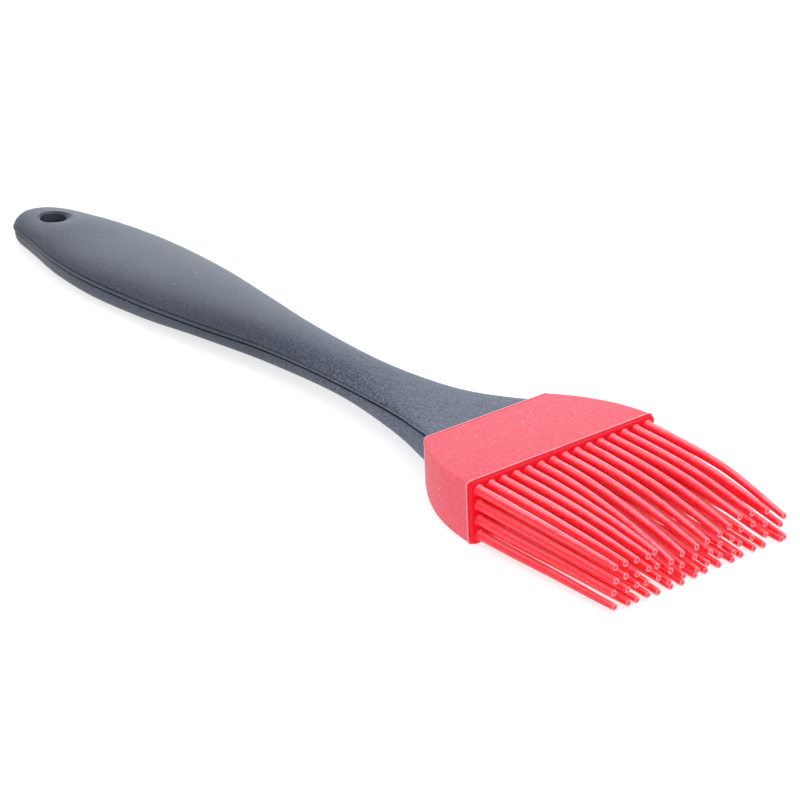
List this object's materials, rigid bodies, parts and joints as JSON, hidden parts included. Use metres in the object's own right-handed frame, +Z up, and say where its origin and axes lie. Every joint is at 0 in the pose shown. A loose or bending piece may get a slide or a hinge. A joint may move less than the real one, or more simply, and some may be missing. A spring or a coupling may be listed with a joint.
{
  "type": "pastry brush",
  "caption": "Pastry brush with a crowned moulded handle, a hanging hole and a silicone head with tapered bristles.",
  "frame": {"origin": "centre of the whole brush's box, on the surface that it lies on", "axes": "+X towards the bristle tips, +Y across the head, +Z up"},
  "size_m": [0.2084, 0.0404, 0.0116],
  "materials": {
    "handle_nylon": "fine spark-eroded texture",
    "tang_nylon": "smooth moulded",
    "sleeve_silicone": "matt silicone",
    "bristle_silicone": "glossy silicone"
  },
  "bodies": {
    "handle": {"handle_upper_half": "handle_nylon", "handle_lower_half": "handle_nylon", "tang": "tang_nylon"},
    "head": {"head_sleeve": "sleeve_silicone", "bristle_base": "bristle_silicone"},
    "row_1": {"bristle_row_1": "bristle_silicone"},
    "row_2": {"bristle_row_2": "bristle_silicone"},
    "row_3": {"bristle_row_3": "bristle_silicone"},
    "row_4": {"bristle_row_4": "bristle_silicone"}
  },
  "joints": [
    {"name": "head_pull_off", "type": "slide", "parent": "handle", "child": "head", "axis": [1, 0, 0], "range_m": [0, 0.016]},
    {"name": "row_1_bend", "type": "hinge", "parent": "head", "child": "row_1", "pos_m": [0.07215, 0, 0.00992], "axis": [0, 1, 0], "range_deg": [-25, 25], "stiffness_Nm_per_rad": 0.03},
    {"name": "row_2_bend", "type": "hinge", "parent": "head", "child": "row_2", "pos_m": [0.07215, 0, 0.00717], "axis": [0, 1, 0], "range_deg": [-25, 25], "stiffness_Nm_per_rad": 0.03},
    {"name": "row_3_bend", "type": "hinge", "parent": "head", "child": "row_3", "pos_m": [0.07215, 0, 0.00443], "axis": [0, 1, 0], "range_deg": [-25, 25], "stiffness_Nm_per_rad": 0.03},
    {"name": "row_4_bend", "type": "hinge", "parent": "head", "child": "row_4", "pos_m": [0.07215, 0, 0.00168], "axis": [0, 1, 0], "range_deg": [-25, 25], "stiffness_Nm_per_rad": 0.03}
  ],
  "couplings": [
    {"joint": "row_2_bend", "follows": "row_1_bend", "ratio": 1},
    {"joint": "row_3_bend", "follows": "row_1_bend", "ratio": 1},
    {"joint": "row_4_bend", "follows": "row_1_bend", "ratio": 1}
  ]
}
